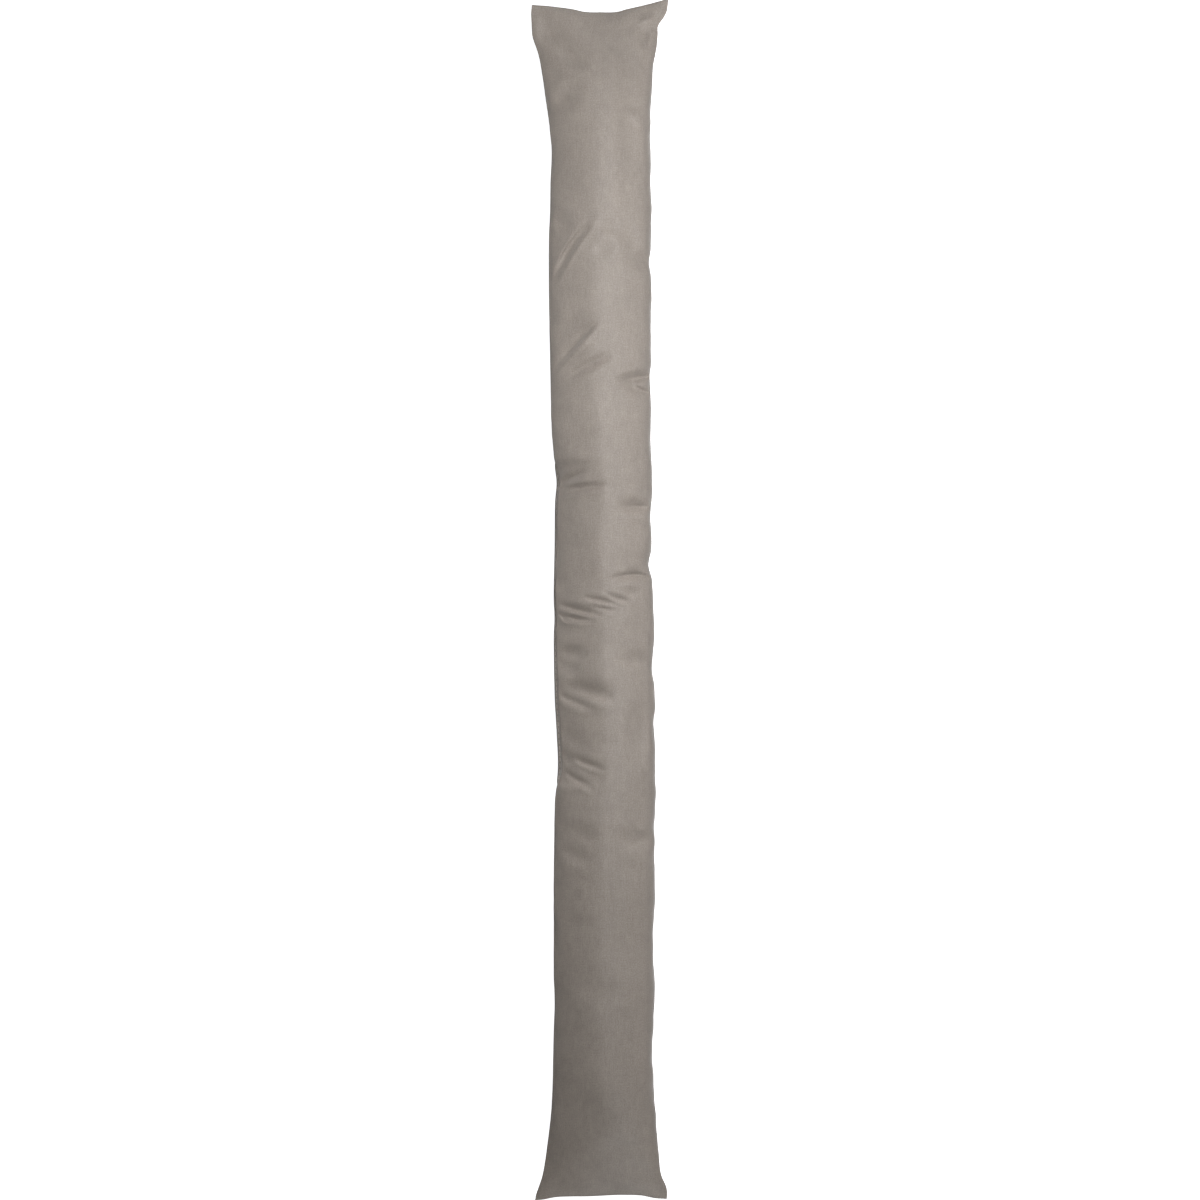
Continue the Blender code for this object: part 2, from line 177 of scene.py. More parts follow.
# Folds seen from above: start along, start across, end along, end across, bow, half width, depth,
# and lean. A fold leans when one of its walls is steeper: from -1 to 1, by the side of that wall.
FOLDS = (
    (281.0, 6.0, 232.0, 36.0, 2.4, 2.4, 3.6, -0.2),
    (289.0, 35.0, 274.0, 20.0, 0.0, 5.5, 2.6, 0.0),
    (277.0, 3.0, 273.0, -17.0, -1.0, 5.5, 1.3, 0.0),
    (266.0, -14.0, 256.0, 6.0, 0.0, 5.0, 1.2, 0.0),
    (280.0, -18.0, 256.0, -27.0, 0.0, 6.0, 2.4, 0.0),
    (250.0, -40.0, 256.0, -18.0, 0.0, 4.0, 2.8, 0.3),
    (213.0, 9.0, 191.0, 33.0, 0.0, 7.5, 2.6, 0.0),
    (207.5, 0.5, 167.5, 37.0, 0.5, 2.8, 3.9, -0.9),
    (184.0, -12.0, 160.5, 31.0, 0.5, 3.6, 2.1, -0.3),
    (168.5, -41.0, 161.0, -11.0, 0.0, 3.4, 5.4, 0.2),
    (152.0, -41.0, 160.0, -15.0, 0.0, 3.2, 4.6, 0.2),
    (83.5, 34.0, 97.0, 7.0, 0.0, 2.6, 4.4, 0.4),
    (81.5, 34.0, 87.0, 13.0, 0.0, 2.0, 3.4, -0.3),
    (77.0, 33.0, 85.0, -7.0, -1.5, 2.4, 3.4, 0.4),
    (69.0, -41.0, 69.5, -12.0, 0.0, 4.0, 3.8, 0.0),
    (13.5, -42.0, 14.5, -6.0, 4.8, 2.8, 3.8, 0.4),
    (5.0, -28.0, 4.0, -18.0, 0.0, 3.4, 0.9, 0.0),
    (-3.0, 33.0, -11.0, -5.0, 0.8, 2.4, 3.7, 0.3),
    (-8.5, 35.0, -14.0, 1.0, 2.5, 2.2, 3.3, 0.2),
    (-13.5, 29.0, -16.8, 20.0, 0.0, 1.3, 1.3, 0.0),
    (2.4, 14.0, -3.6, -17.0, 0.0, 1.7, 1.5, 0.3),
    (4.8, -3.0, -1.5, -27.0, 1.0, 1.7, 1.3, 0.2),
    (-4.3, 10.0, -7.9, -13.0, 0.0, 1.7, 1.2, 0.0),
    (-38.5, 31.0, -41.0, 7.0, 0.0, 4.8, 2.7, 0.0),
    (-46.0, 34.0, -52.0, 12.0, 0.0, 5.0, 2.5, 0.0),
    (-45.0, -42.0, -44.5, -10.0, 0.0, 5.0, 1.8, -0.6),
    (-63.0, 29.0, -71.5, -13.0, 1.0, 5.2, 3.4, 0.5),
    (-70.0, 33.0, -80.5, 2.0, 0.0, 3.4, 2.8, 0.2),
    (-74.0, -28.0, -126.0, -29.0, 0.0, 6.0, 3.0, 0.0),
    (-116.5, 21.0, -126.0, -6.0, 0.8, 2.3, 1.6, 0.4),
    (-108.0, 35.0, -123.0, 19.0, 0.0, 4.0, 1.5, 0.0),
    (-125.5, 29.0, -142.0, 2.0, 0.8, 2.3, 1.7, 0.3),
    (-171.0, -42.0, -170.0, -24.0, 0.0, 3.0, -1.4, 0.0),
    (-180.0, -41.0, -177.0, -11.0, 0.0, 5.5, 1.6, 0.0),
    (-168.0, 21.0, -181.0, -1.0, 0.0, 5.5, 0.9, 0.0),
    (-183.0, 33.0, -198.0, 3.0, 0.0, 6.0, 1.0, 0.0),
    (432.0, 50.0, 410.0, 22.0, 0.0, 7.0, 2.4, 0.0),
    (415.0, 33.0, 392.0, 10.0, 0.0, 7.0, 2.2, 0.0),
    (366.0, 36.0, 384.0, 12.0, 0.0, 6.5, 2.2, 0.0),
    (430.0, -21.0, 262.0, -22.0, 0.0, 6.5, 1.8, 0.0),
    (434.0, -42.0, 431.0, -28.0, 0.0, 3.2, -1.7, 0.0),
    (427.0, -34.0, 410.0, -31.0, 0.0, 3.6, 2.2, 0.0),
    (358.0, -39.0, 358.0, -16.0, 0.0, 4.0, -1.6, 0.0),
    (-366.0, 34.0, -392.0, -16.0, 0.0, 11.0, 1.6, 0.0),
)

# Folds deepen with the sine of the angle above the seam, this many times as fast
FOLDS_FROM = 1.8

# Folds sink partly straight down, by this share. Where the cloth is steep, they sink no deeper than
# this least grip allows.
FOLD_DROP, LEAST_GRIP = 0.7, 0.6

# A fold's walls: how much narrower the steep one is, and the cloth heaped up beside it
STEEPNESS = 0.55
SHOULDER_HEIGHT, SHOULDER_PLACE = 0.22, 2.0

# How a fold fades out at its ends, and how near to its start it is deepest
TAPER_PLACE, TAPER_POWER = 0.9, 1.5

# The cloth simulation. The cloth starts a little inside its place and has some spare length.
SWELL_ROOM = 0.5
LAST_FRAME = 20
MOST_MOVE = 0.8
SOLVER_STEPS = 5
POINT_MASS = 0.0005
PRESSURE = 4.0
AIR_DAMPING = 2.0
STRETCHING, SHEARING, BENDING = 12.0, 3.0, 0.05
SLACK = 0.01

# The narrowest fold that the simulated grid can show. What is finer is put in afterwards.
COARSEST_FOLD = 3.2

# What is held while the cloth swells: the ends, the foot, and the columns of the closing seam
HELD_AT_END, HELD_FADE, HELD_FOOT = 1.5, 12.0, 2.0
SEAM_COLUMNS = [0, 1, -2, -1]

# The cloth is refined straight, and not on a curve, after these columns beside the lip's corners
STRAIGHT_COLUMNS = [0, 1, -3, -2]

# The small unevenness of the filling: its waves, and how often at most one turns round the girth
WAVE_SEED, WAVES, WAVE_HEIGHT, WAVE_LENGTHS = 5, 60, 0.32, (16.0, 80.0)
MOST_TURNS = 6

# The groove of the sewn side, in how many columns of it and how far from the ends it fades
SEAM_DEPTH = 0.6
SEAM_REACH, SEAM_FADE = 5, 30.0

# Puckers of the groove: their pitch, their share of its depth, and how their pitch drifts
PUCKER_PITCH, PUCKER_SHARE = 7.3, 0.35
PUCKER_DRIFT, PUCKER_DRIFT_LENGTH = 2.0, 19.0

# Columns of the refined grid on either side of the lip's nose that nothing pushes
LIP_COLUMNS = 4

# The height from which the late folds and waves begin, and over which they reach their depth
FINE_FROM, FINE_OVER = 0.2, 3.0

# Stitches that shut the opening, along the middle columns of the lip's two faces
LIP_ENDS = (98.0, -133.0)
STITCH_PITCH, STITCH_LENGTH, STITCH_STEPS = 4.4, 2.9, 9
STITCH_COLUMNS = (1, -3)
STITCH_LIFT, STITCH_SINK = 0.55, 0.3
THREAD_RADIUS, THREAD_SIDES = 0.4, 8
THREAD_TAPER = 0.9

LENS_LENGTH, SENSOR_WIDTH = 100.0, 36.0
CAMERA_HEIGHT = 2.512

# Cloth and thread. Sizes of the weave are in metres, as the cloth's UV map is.
FABRIC_COLOUR = (0.342, 0.301, 0.266)
FABRIC_ROUGHNESS = 0.5
FABRIC_SPECULAR = 0.5
SHEEN, SHEEN_ROUGHNESS = 0.7, 0.35
THREAD_PITCH = 0.00045
THREAD_ROUNDNESS = 0.4
# Threads are painted darker where they dip under the crossing ones: painted shade in the weave's
# hollows.
THREAD_SHADE, MEAN_HEIGHT = 0.35, 0.6
WEAVE_DEPTH, WEAVE_STRENGTH = 0.00008, 0.6

# Unevenness of the cloth's shade: noise per metre along and around, its detail and its strength
UNEVEN_SHADES = (
    ((90.0, 1300.0, 1.0), 2.0, 0.3),
    ((1300.0, 120.0, 1.0), 2.0, 0.2),
    ((24.0, 40.0, 1.0), 3.0, 0.2),
    ((150.0, 190.0, 1.0), 2.0, 0.22),
    ((1000.0, 1000.0, 1.0), 1.0, 0.6),
)

# Sewing thread: its plies' scale and depth, and how much darker the grooves between them are painted,
# as painted shade
# The thread's colour is painted well lighter than the cloth's: a painted highlight where the stitch
# tops catch the light.
THREAD_AND_HIGHLIGHT_COLOUR, THREAD_ROUGHNESS = (0.72, 0.66, 0.6), 0.6
PLY_SCALE, PLY_DEPTH, PLY_STRENGTH = 900.0, 0.00005, 0.5
PLY_SHADE = 0.7

# Stage, in metres
FLOOR_HALF, FLOOR_GAP = 6.0, 0.0002
FLOOR_COLOUR, FLOOR_GLOW, FLOOR_ROUGHNESS = (0.8, 0.8, 0.8), 1.02, 0.9

# Surround: brightness by height, from straight down at -1 to straight up at 1
SURROUND = ((-0.2, 0.05), (-0.08, 0.37), (0.08, 0.37), (0.3, 0.04))
SURROUND_TINT = (1.0, 0.955, 0.935)

# Softboxes, in metres and watts: name, place, aim, size, power
SOFTBOXES = (
    ("key", (0.24, -0.13, 0.8), (0.15, 0.0, 0.0), (0.4, 0.25), 5.55),
    ("right", (0.25, -0.9, 0.25), (0.2, 0.0, 0.0), (0.5, 0.25), 2.0),
    ("left", (0.2, 0.7, 0.25), (0.15, 0.0, 0.0), (0.4, 0.25), 0.9),
    ("top_end", (1.2, -0.15, 0.35), (0.42, 0.0, 0.0), (0.4, 0.3), 1.5),
    ("low_end", (-1.2, -0.25, 0.3), (-0.43, 0.0, 0.0), (0.4, 0.3), 2.9),
)


def smooth_step(value):
    """Run from 0 to 1 with level ends."""
    value = np.clip(value, 0.0, 1.0)
    return value * value * (3.0 - 2.0 * value)


def read_table(rows, place, column):
    """Read one column of a table whose first column falls, on a smooth line through its rows."""
    if place >= rows[0][0]:
        return rows[0][column]
    if place <= rows[-1][0]:
        return rows[-1][column]
    upper = max(index for index, row in enumerate(rows[:-1]) if row[0] >= place)

    def slope(index):
        before = rows[max(index - 1, 0)]
        after = rows[min(index + 1, len(rows) - 1)]
        return (after[column] - before[column]) / (after[0] - before[0])

    start, end = rows[upper], rows[upper + 1]
    gap = end[0] - start[0]
    part = (place - start[0]) / gap
    change = end[column] - start[column]
    bend = slope(upper) * gap - change
    unbend = change - slope(upper + 1) * gap
    straight = start[column] + change * part
    return straight + part * (1.0 - part) * (bend * (1.0 - part) + unbend * part)


def ellipse_girth(half_width, half_height):
    """Girth of an ellipse, by Ramanujan's first formula."""
    mixed = (3.0 * half_width + half_height) * (half_width + 3.0 * half_height)
    return math.pi * (3.0 * (half_width + half_height) - math.sqrt(mixed))


def half_height_for(width, girth):
    """Half the height that cloth of this girth fills when it is this wide."""
    low, high = 0.0, width
    for _ in range(HALVINGS):
        middle = 0.5 * (low + high)
        if ellipse_girth(0.5 * width, middle) < girth:
            low = middle
        else:
            high = middle
    return 0.5 * (low + high)


def nip_depth(side, along):
    """How far the outline dips at this place on one side."""
    depth = 0.0
    for nip_side, place, nip, half_length in NIPS:
        if nip_side == side:
            depth += nip * math.exp(-(((along - place) / half_length) ** 2))
    return depth


def lip_width(along):
    """How wide the closing lip is here."""
    return max(read_table(LIP, along, 1), 0.0)


def lip_reach(along):
    """How far the closing lip stands out, seen from above."""
    return lip_width(along) * math.cos(math.radians(read_table(LIP, along, 2)))


def filled_half_height(along):
    """Half the height of the filling here. A lip takes up twice its own width of the cloth."""
    width, girth = 0.0, 0.0
    for step in FILL_STEPS:
        reach = read_table(OUTLINE, along + step, 1) + read_table(OUTLINE, along + step, 2)
        width += (reach - lip_reach(along + step)) / len(FILL_STEPS)
        girth += (GIRTH - 2.0 * lip_width(along + step)) / len(FILL_STEPS)
    return half_height_for(width, girth)


def section_at(along):
    """The sizes of the cloth's section at one place along the tube."""
    lip = lip_width(along)
    sewn = read_table(OUTLINE, along, 1) - nip_depth(1, along) - lip_reach(along)
    folded = read_table(OUTLINE, along, 2) - nip_depth(-1, along)
    from_end = 0.5 * LENGTH - abs(along)
    inner = 0.5 * LENGTH - END_RISE
    filled = filled_half_height(min(max(along, -inner), inner))
    opened = math.sin(0.5 * math.pi * min(from_end / END_RISE, 1.0)) ** END_FULLNESS
    body_middle = filled - FOOT_SINK
    stands = smooth_step(lip / LIP_FORMED)
    return {
        "half_width": 0.5 * (sewn + folded),
        "centre": 0.5 * (sewn - folded),
        "half_height": SEAM_HALF + (filled - SEAM_HALF) * opened,
        "middle": SEAM_HEIGHT + (body_middle - SEAM_HEIGHT) * smooth_step(from_end / END_RISE),
        "lens": 1.0 + LENS_POWER * smooth_step(1.0 - from_end / END_LENS),
        "flattened": SEAM_FLATTENS + (LIP_FLATTENS - SEAM_FLATTENS) * stands,
        "lip": lip,
        "stands": stands,
        "tilt": math.radians(read_table(LIP, along, 2)),
        "lift": read_table(LIP, along, 3),
    }


def column_angles():
    """Angles round the section, from the seam over the crown and back under the foot."""
    first = math.pi / TOP_COLUMNS
    top = [first * (step + 1) for step in range(TOP_COLUMNS)]
    under = math.pi / (FOOT_COLUMNS + 1)
    foot = [math.pi + under * (step + 1) for step in range(FOOT_COLUMNS)]
    return top + foot


def cloth_point(section, angle, face=0.0):
    """A point on the filled section. On the seam itself, face is 1 on the upper cloth and -1 below."""
    level, nearness = math.sin(angle), max(0.0, math.cos(angle)) ** SEAM_CLOSENESS
    height = abs(level)
    round_share = height ** section["lens"]
    if nearness:
        flat_share = 1.0 - math.cos(angle) ** FLAT_POWER
        round_share += section["flattened"] * (flat_share - round_share)
    rise = (section["half_height"] - SEAM_HALF) * round_share + SEAM_HALF * math.sqrt(height)
    rise += LIP_ROOT * section["stands"] * nearness * (1.0 - height)
    across = section["centre"] + section["half_width"] * math.cos(angle)
    up = section["middle"] + section["lift"] * nearness + math.copysign(rise, face or level)
    return across, up


def lip_point(section, corner):
    """One of the four corners of the closing lip, or its place on the seam where there is no lip."""
    angle, face, side, width = {
        "upper root": (SEAM_ROOT, 1.0, 0.0, 0.0),
        "upper edge": (SEAM_EDGE, 1.0, LIP_EDGE, section["lip"]),
        "lower edge": (-SEAM_EDGE, -1.0, LIP_EDGE, section["lip"]),
        "lower root": (-SEAM_ROOT, -1.0, 0.0, 0.0),
    }[corner]
    stands = section["stands"]
    angle *= (1.0 - stands) * math.pi / TOP_COLUMNS
    across, up = cloth_point(section, angle, face)
    if width:
        middle = section["middle"] + section["lift"]
        level, steep = math.cos(section["tilt"]), math.sin(section["tilt"])
        edge_across = section["centre"] + section["half_width"] + width * level - face * side * steep
        edge_up = middle + width * steep + face * side * level
        across += stands * (edge_across - across)
        up += stands * (edge_up - up)
    return across, up


def ring_places():
    """Places of the rings along the tube, closer together at the ends and where folds lie."""
    inner = 0.5 * LENGTH - END_STEPS[-1]
    folded = [0.5 * (row[0] + row[2]) for row in FOLDS]
    reach = [FOLD_REACH + 0.5 * abs(row[0] - row[2]) for row in FOLDS]
    places = []
    place = inner
    while place > -inner + 0.5 * FINE_STEP:
        places.append(place)
        near = any(abs(place - fold) < span for fold, span in zip(folded, reach))
        place -= FINE_STEP if near else COARSE_STEP
    top_end = [0.5 * LENGTH - step for step in END_STEPS[:-1]]
    low_end = [step - 0.5 * LENGTH for step in reversed(END_STEPS)]
    return top_end + places + low_end


def ring_points(along):
    """All points of one ring, in order round the section."""
    section = section_at(along)
    points = [lip_point(section, "upper edge"), lip_point(section, "upper root")]
    for angle in column_angles():
        points.append(cloth_point(section, angle))
    points.append(lip_point(section, "lower root"))
    points.append(lip_point(section, "lower edge"))
    column = 1 if along > 0 else 3
    fade = smooth_step(1.0 - (0.5 * LENGTH - abs(along)) / DRAW_IN_REACH)
    ring = []
    for across, up in points:
        drawn = read_table(END_LINES, across, column) * fade
        lifted = read_table(END_LINES, across, column + 1) * fade
        place = along - math.copysign(drawn, along)
        ring.append((place, across, max(up + lifted, 0.0)))
    return ring


def make_grid():
    """The cloth's points, as rings by columns centred over the origin, and each ring's place."""
    places = ring_places()
    grid = np.array([ring_points(place) for place in places])
    for end in (0, -1):
        grid[end, :, 2] = seam_heights(grid[end, :, 1], places[end])
    low, high = grid.min((0, 1)), grid.max((0, 1))
    grid[:, :, :2] -= 0.5 * (low + high)[:2]
    return grid, np.array(places)


def seam_heights(across, along):
    """Heights of the closed end seam."""
    column = 2 if along > 0 else 4
    return np.array([SEAM_HEIGHT + read_table(END_LINES, place, column) for place in across])


def outward(grid):
    """The way out of the cloth at every point of the grid."""
    lengthways = np.gradient(grid, axis=0)
    around = np.roll(grid, -1, axis=1) - np.roll(grid, 1, axis=1)
    normal = np.cross(around, lengthways)
    size = np.linalg.norm(normal, axis=2, keepdims=True)
    return normal / np.maximum(size, 1e-9)


def fold_direction(grid):
    """The way that folds are pushed against: out of the cloth and upwards."""
    normal = outward(grid)
    way = (1.0 - FOLD_DROP) * normal
    way[:, :, 2] += FOLD_DROP
    way /= np.linalg.norm(way, axis=2, keepdims=True)
    grip = (way * normal).sum(axis=2, keepdims=True)
    return way / np.maximum(grip, LEAST_GRIP)


def topness(columns):
    """How far each column is on the upper side, where the folds are: 0 underneath, 1 on the crown."""
    level = np.sin(np.array(column_angles()))
    seam = np.zeros(2)
    upper = smooth_step(FOLDS_FROM * np.concatenate([seam, level, seam]))
    if columns > len(upper):
        upper = np.stack([upper, 0.5 * (upper + np.roll(upper, -1))], axis=1).ravel()
    return upper[None, :]


def fold_relief(along, across, narrowest):
    """How far the folds push the cloth in, with no fold narrower than the grid can show."""
    relief = np.zeros_like(along)
    for start_along, start_across, end_along, end_across, bow, half_width, depth, lean in FOLDS:
        run_along = end_along - start_along
        run_across = end_across - start_across
        run = math.hypot(run_along, run_across)
        offset_along = along - start_along
        offset_across = across - start_across
        part = (offset_along * run_along + offset_across * run_across) / (run * run)
        beside = (offset_along * run_across - offset_across * run_along) / run
        inside = np.clip(part, 0.0, 1.0)
        beside = beside - bow * 4.0 * inside * (1.0 - inside)
        taper = np.sin(math.pi * inside**TAPER_PLACE) ** TAPER_POWER
        side = np.tanh(beside / half_width) * lean
        away = np.abs(beside) / (max(half_width, narrowest) * (1.0 - STEEPNESS * side))
        trough = np.exp(-(away**2))
        shoulders = SHOULDER_HEIGHT * (1.0 + side) * np.exp(-((away - SHOULDER_PLACE) ** 2))
        relief += depth * taper * (trough - shoulders)
    return relief


def refine(grid):
    """Put a point between each two, on a smooth curve through its neighbours, both ways."""
    before, after = np.roll(grid, 1, axis=1), np.roll(grid, -1, axis=1)
    between = (9.0 * (grid + after) - before - np.roll(grid, -2, axis=1)) / 16.0
    between[:, STRAIGHT_COLUMNS] = 0.5 * (grid + after)[:, STRAIGHT_COLUMNS]
    grid = np.stack([grid, between], axis=2).reshape(len(grid), -1, grid.shape[2])
    first, last = 2.0 * grid[:1] - grid[1:2], 2.0 * grid[-1:] - grid[-2:-1]
    padded = np.concatenate([first, grid, last])
    between = (9.0 * (padded[1:-2] + padded[2:-1]) - padded[:-3] - padded[3:]) / 16.0
    finer = np.empty((2 * len(grid) - 1, *grid.shape[1:]))
    finer[0::2], finer[1::2] = grid, between
    return finer


def grid_faces(rings, around):
    """Corner numbers of the faces of a grid that closes on itself sideways."""
    faces = []
    for ring in range(rings - 1):
        for column in range(around):
            beside = (column + 1) % around
            first, second = ring * around, (ring + 1) * around
            faces.append((first + column, first + beside, second + beside, second + column))
    return faces


def held_share(grid):
    """How firmly each point is held while the cloth swells."""
    rings, around = grid.shape[:2]
    from_end = np.minimum(grid[:, :, 0] - grid[:, :, 0].min(), grid[:, :, 0].max() - grid[:, :, 0])
    held = smooth_step(1.0 - (from_end - HELD_AT_END) / HELD_FADE)
    held = np.maximum(held, smooth_step(1.0 - (grid[:, :, 2] - HELD_FOOT) / HELD_FADE))
    seam = np.zeros(around)
    seam[SEAM_COLUMNS] = 1.0
    return np.maximum(held, seam[None, :])


def swell(grid):
    """Let the cloth swell over its filling in a cloth simulation, and give its points at rest."""
    scene = bpy.context.scene
    held = held_share(grid)
    start = grid - SWELL_ROOM * outward(grid) * (1.0 - held)[:, :, None]
    data = bpy.data.meshes.new("cloth_at_work")
    data.from_pydata((start * MM).reshape(-1, 3).tolist(), [], grid_faces(*grid.shape[:2]))
    tube = bpy.data.objects.new("cloth_at_work", data)
    scene.collection.objects.link(tube)
    group = tube.vertex_groups.new(name="held")
    for number, weight in enumerate(held.ravel()):
        if weight > 0.0:
            group.add([number], weight, "REPLACE")
    modifier = tube.modifiers.new("swell", "CLOTH")
    cloth = modifier.settings
    cloth.quality = SOLVER_STEPS
    cloth.mass = POINT_MASS
    cloth.air_damping = AIR_DAMPING
    cloth.tension_stiffness = cloth.compression_stiffness = STRETCHING
    cloth.shear_stiffness = SHEARING
    cloth.bending_stiffness = BENDING
    cloth.shrink_min = -SLACK
    cloth.use_pressure = True
    cloth.uniform_pressure_force = PRESSURE
    cloth.effector_weights.gravity = 0.0
    cloth.vertex_group_mass = group.name
    modifier.collision_settings.use_collision = False
    modifier.collision_settings.use_self_collision = False
    modifier.point_cache.frame_start = 1
    modifier.point_cache.frame_end = LAST_FRAME
    for number in range(1, LAST_FRAME + 1):
        scene.frame_set(number)
    worked = tube.evaluated_get(bpy.context.evaluated_depsgraph_get()).data
    flat = np.empty(3 * len(worked.vertices), np.float32)
    worked.vertices.foreach_get("co", flat)
    scene.frame_set(1)
    bpy.data.objects.remove(tube)
    moved = flat.reshape(grid.shape).astype(float) / MM - start
    far = np.linalg.norm(moved, axis=2, keepdims=True)
    capped = MOST_MOVE * np.tanh(far / MOST_MOVE) / np.maximum(far, 1e-9)
    return start + moved * capped


def unevenness(grid, places):
    """The small unevenness of the filling: many faint waves that run every way."""
    random = np.random.default_rng(WAVE_SEED)
    along = places[:, None]
    around = np.linspace(0.0, GIRTH, grid.shape[1], endpoint=False)[None, :]
    height = np.zeros(grid.shape[:2])
    for _ in range(WAVES):
        turns = random.integers(-MOST_TURNS, MOST_TURNS + 1)
        length = random.uniform(*WAVE_LENGTHS)
        start = random.uniform(0.0, 2.0 * math.pi)
        height += np.sin(2.0 * math.pi * (along / length + turns * around / GIRTH) + start)
    return WAVE_HEIGHT * height / math.sqrt(WAVES)


def from_nose(columns):
    """How many columns lie between each column and the lip's nose, which is the last one."""
    number = np.arange(columns)
    return np.minimum(number + 1, columns - 1 - number)


def draw_seam(grid, places):
    """Draw the machine seam straight in at its stitches, up to where the closing lip stands out."""
    lip = np.array([lip_width(place) for place in places])
    fade = smooth_step(1.0 - 2.0 * lip) * smooth_step((0.5 * LENGTH - np.abs(places)) / SEAM_FADE)
    drift = PUCKER_DRIFT * np.sin(places / PUCKER_DRIFT_LENGTH)
    puckers = 1.0 + PUCKER_SHARE * np.sin(2.0 * math.pi * places / PUCKER_PITCH + drift)
    near = smooth_step(1.0 - from_nose(grid.shape[1]) / SEAM_REACH)
    grid[:, :, 1] -= SEAM_DEPTH * (fade * puckers)[:, None] * near[None, :]


def finish_grid(grid, places):
    """Refine the simulated grid and put in what was too fine for it."""
    grid = refine(grid)
    places = np.interp(np.arange(len(grid)) / 2.0, np.arange(len(places)), places)
    along, across = grid[:, :, 0], grid[:, :, 1]
    crisp = fold_relief(along, across, 0.0) - fold_relief(along, across, COARSEST_FOLD)
    share = smooth_step((from_nose(grid.shape[1]) - LIP_COLUMNS) / LIP_COLUMNS)[None, :]
    share = share * smooth_step((0.5 * LENGTH - np.abs(places)) / END_CALM)[:, None]
    share *= smooth_step((grid[:, :, 2] - FINE_FROM) / FINE_OVER)
    folds = (crisp * topness(grid.shape[1]) * share)[:, :, None] * fold_direction(grid)
    grid = grid - folds - (unevenness(grid, places) * share)[:, :, None] * outward(grid)
    draw_seam(grid, places)
    grid[:, :, 2] = np.maximum(grid[:, :, 2], 0.0)
    for end in (0, -1):
        grid[end] = closed_end(grid[end])
    return grid, places


def closed_end(ring):
    """Lay each column of the upper side on the column below it, so that the end is shut."""
    root, fold = 2, 2 * (1 + TOP_COLUMNS)
    for column in range(root, fold):
        ring[column] = ring[fold + (fold - column) // 2]
    for column in range(root):
        ring[column] = ring[-2 - column]
    return ring


def build_cover(grid, places):
    """The cover as one mesh, with its place in the flat cloth, in metres, as a UV map."""
    rings, around = grid.shape[:2]
    data = bpy.data.meshes.new("filled_cover")
    data.from_pydata((grid * MM).reshape(-1, 3).tolist(), [], grid_faces(rings, around))
    sides = np.linalg.norm(np.roll(grid, -1, axis=1) - grid, axis=2)
    width = np.concatenate([np.zeros((rings, 1)), np.cumsum(sides, axis=1)], axis=1)
    width *= GIRTH / width[:, -1:]
    ring, column = np.divmod(np.arange((rings - 1) * around), around)
    corners = [(ring, column), (ring, column + 1), (ring + 1, column + 1), (ring + 1, column)]
    cloth = np.stack([np.stack([places[r], width[r, c]], axis=1) for r, c in corners], axis=1)
    data.uv_layers.new(name="cloth").uv.foreach_set("vector", (cloth * MM).astype(np.float32).ravel())
    mesh = bmesh.new()
    mesh.from_mesh(data)
    bmesh.ops.remove_doubles(mesh, verts=mesh.verts, dist=0.000001)
    bmesh.ops.recalc_face_normals(mesh, faces=mesh.faces)
    mesh.to_mesh(data)
    mesh.free()
    data.shade_smooth()
    cover = bpy.data.objects.new("filled_cover", data)
    bpy.context.scene.collection.objects.link(cover)
    return cover


def build_stitches(grid, places):
    """The thread that shuts the opening: short stitches along both faces of the lip."""
    mesh = bmesh.new()
    normals = outward(grid)
    starts = np.arange(LIP_ENDS[0], LIP_ENDS[1], -STITCH_PITCH)
    for column in STITCH_COLUMNS:
        column %= grid.shape[1]
        for start in starts:
            steps = np.linspace(0.0, 1.0, STITCH_STEPS)
            at = start - steps * STITCH_LENGTH
            line = [np.interp(-at, -places, grid[:, column, axis]) for axis in range(3)]
            out = [np.interp(-at, -places, normals[:, column, axis]) for axis in range(3)]
            lift = STITCH_LIFT * (1.0 - (2.0 * steps - 1.0) ** 2) - STITCH_SINK
            path = np.stack(line, axis=1) + np.stack(out, axis=1) * lift[:, None]
            add_thread(mesh, path)
    data = bpy.data.meshes.new("closing_stitches")
    mesh.to_mesh(data)
    mesh.free()
    data.shade_smooth()
    stitches = bpy.data.objects.new("closing_stitches", data)
    bpy.context.scene.collection.objects.link(stitches)
    return stitches


def add_thread(mesh, path):
    """One stitch: a round thread along a path, thinner at both ends and closed there."""
    rings = []
    turn = Vector(path[-1] - path[0]).to_track_quat("Z", "Y")
    for number, point in enumerate(path):
        part = 2.0 * number / (len(path) - 1) - 1.0
        radius = THREAD_RADIUS * math.sqrt(1.0 - THREAD_TAPER * part**4)
        ring = []
        for side in range(THREAD_SIDES):
            angle = 2.0 * math.pi * side / THREAD_SIDES
            around = turn @ Vector((math.cos(angle), math.sin(angle), 0.0))
            ring.append(mesh.verts.new((Vector(point) + radius * around) * MM))
        rings.append(ring)
    for first, second in zip(rings, rings[1:]):
        for side in range(THREAD_SIDES):
            beside = (side + 1) % THREAD_SIDES
            mesh.faces.new((first[side], first[beside], second[beside], second[side]))
    mesh.faces.new(list(reversed(rings[0])))
    mesh.faces.new(rings[-1])


def new_material(name, colour, roughness):
    """A material and the parts of it that its pattern is linked to."""
    material = bpy.data.materials.new(name)
    material.use_nodes = True
    tree = material.node_tree
    shader = tree.nodes["Principled BSDF"]
    shader.inputs["Base Color"].default_value = (*colour, 1.0)
    shader.inputs["Roughness"].default_value = roughness
    return material, tree, shader


def calculate(tree, operation, first, second=None):
    """A Math node whose inputs are numbers or sockets."""
    node = tree.nodes.new("ShaderNodeMath")
    node.operation = operation
    for socket, value in zip(node.inputs, (first, second)):
        if isinstance(value, bpy.types.NodeSocket):
            tree.links.new(value, socket)
        elif value is not None:
            socket.default_value = value
    return node.outputs[0]


